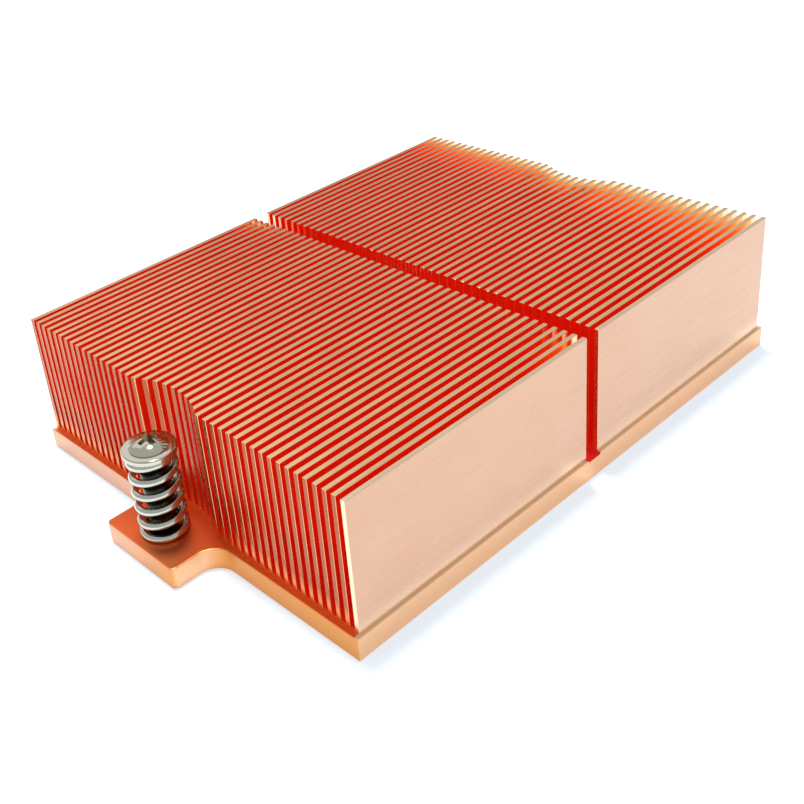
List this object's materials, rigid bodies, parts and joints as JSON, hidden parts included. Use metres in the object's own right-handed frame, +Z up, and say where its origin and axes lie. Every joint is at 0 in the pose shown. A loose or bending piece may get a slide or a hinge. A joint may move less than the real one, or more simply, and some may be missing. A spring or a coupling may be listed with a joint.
{
  "type": "passive server cpu heatsink",
  "caption": "Low passive copper heatsink with upright fins cut from one block, a cross groove, and a spring-loaded captive screw on an ear at each end.",
  "frame": {"origin": "centre of the flat underside, midway between the two screws", "axes": "+Z up from the underside through the fins, +Y along the fins and the airflow from the front screw to the rear screw, +X across the fins"},
  "size_m": [0.0738, 0.1142, 0.0245],
  "materials": {
    "copper": null,
    "plated_screw": "bright plated steel",
    "spring_steel": "bright spring wire",
    "ring_steel": "plain spring steel"
  },
  "bodies": {
    "base": {"finned_base": "copper", "front_spring": "spring_steel", "rear_spring": "spring_steel"},
    "front_ring": {"front_retaining_ring": "ring_steel"},
    "front_screw": {"front_screw": "plated_screw"},
    "rear_ring": {"rear_retaining_ring": "ring_steel"},
    "rear_screw": {"rear_screw": "plated_screw"}
  },
  "joints": [
    {"name": "front_screw_press", "type": "slide", "parent": "base", "child": "front_ring", "axis": [0, 0, -1], "range_m": [0, 0.0045], "stiffness_N_per_m": 13500, "deforming": ["front_spring"]},
    {"name": "front_screw_turn", "type": "hinge", "parent": "front_ring", "child": "front_screw", "pos_m": [0, -0.05207, 0], "axis": [0, 0, 1], "continuous": true},
    {"name": "rear_screw_press", "type": "slide", "parent": "base", "child": "rear_ring", "axis": [0, 0, -1], "range_m": [0, 0.0045], "stiffness_N_per_m": 13500, "deforming": ["rear_spring"]},
    {"name": "rear_screw_turn", "type": "hinge", "parent": "rear_ring", "child": "rear_screw", "pos_m": [0, 0.05207, 0], "axis": [0, 0, 1], "continuous": true}
  ]
}
